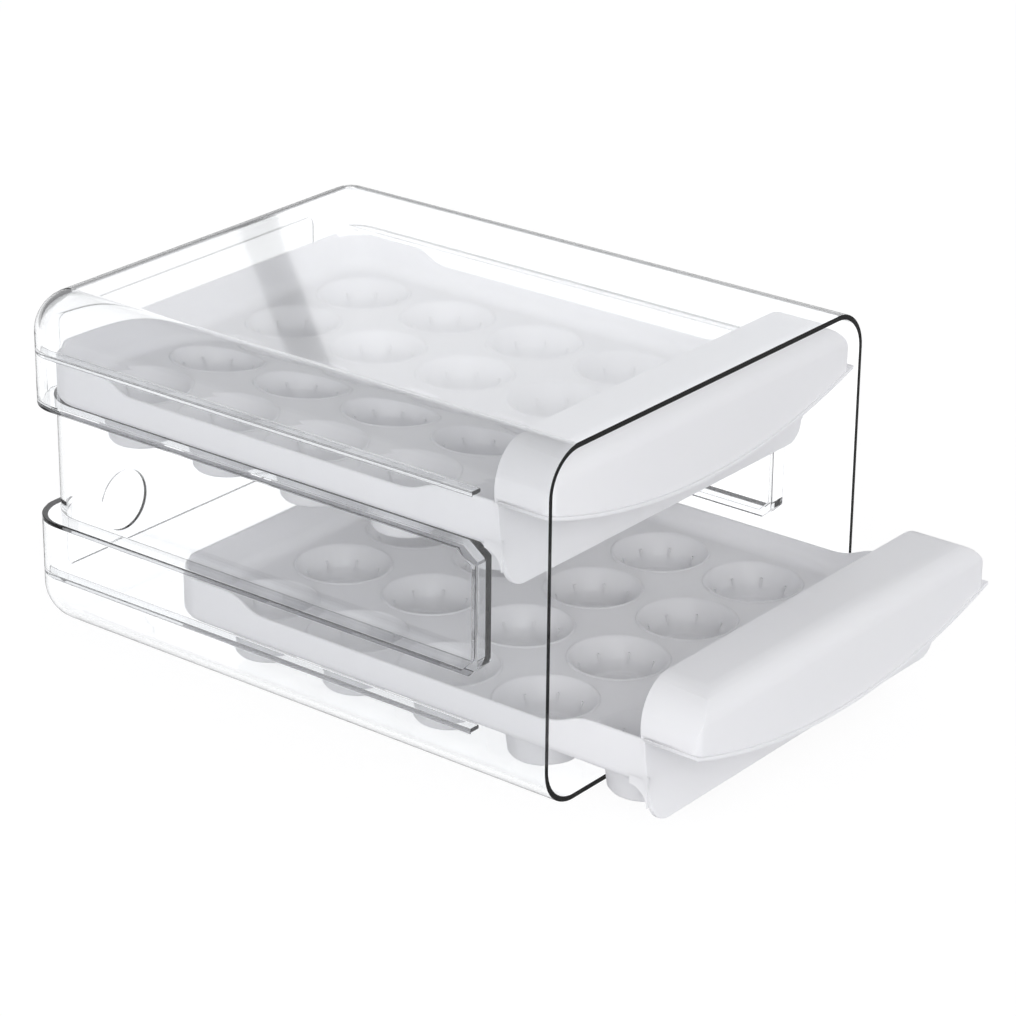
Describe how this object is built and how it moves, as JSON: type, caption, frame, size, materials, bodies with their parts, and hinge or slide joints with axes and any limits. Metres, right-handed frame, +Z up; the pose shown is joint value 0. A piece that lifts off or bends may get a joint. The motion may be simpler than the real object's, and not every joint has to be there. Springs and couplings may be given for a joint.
{
  "type": "egg holder",
  "caption": "Two-tier refrigerator egg holder: a clear open-fronted case with two white cupped drawers that slide out by their hooded fronts.",
  "frame": {"origin": "centre of the clear case's flat base, on the surface it stands on", "axes": "+Z up; -Y towards the open front, the way the drawers slide out; the part is mirror-symmetric across X = 0"},
  "size_m": [0.23, 0.3797, 0.163],
  "materials": {
    "clear_plastic": "clear, polished",
    "white_plastic": "satin"
  },
  "bodies": {
    "case": {"clear_case": "clear_plastic"},
    "upper_tier": {"upper_drawer": "white_plastic"},
    "lower_tier": {"lower_drawer": "white_plastic"}
  },
  "joints": [
    {"name": "upper_slide", "type": "slide", "parent": "case", "child": "upper_tier", "axis": [0, -1, 0], "range_m": [0, 0.2]},
    {"name": "lower_slide", "type": "slide", "parent": "case", "child": "lower_tier", "axis": [0, -1, 0], "range_m": [-0.076, 0.124]}
  ]
}
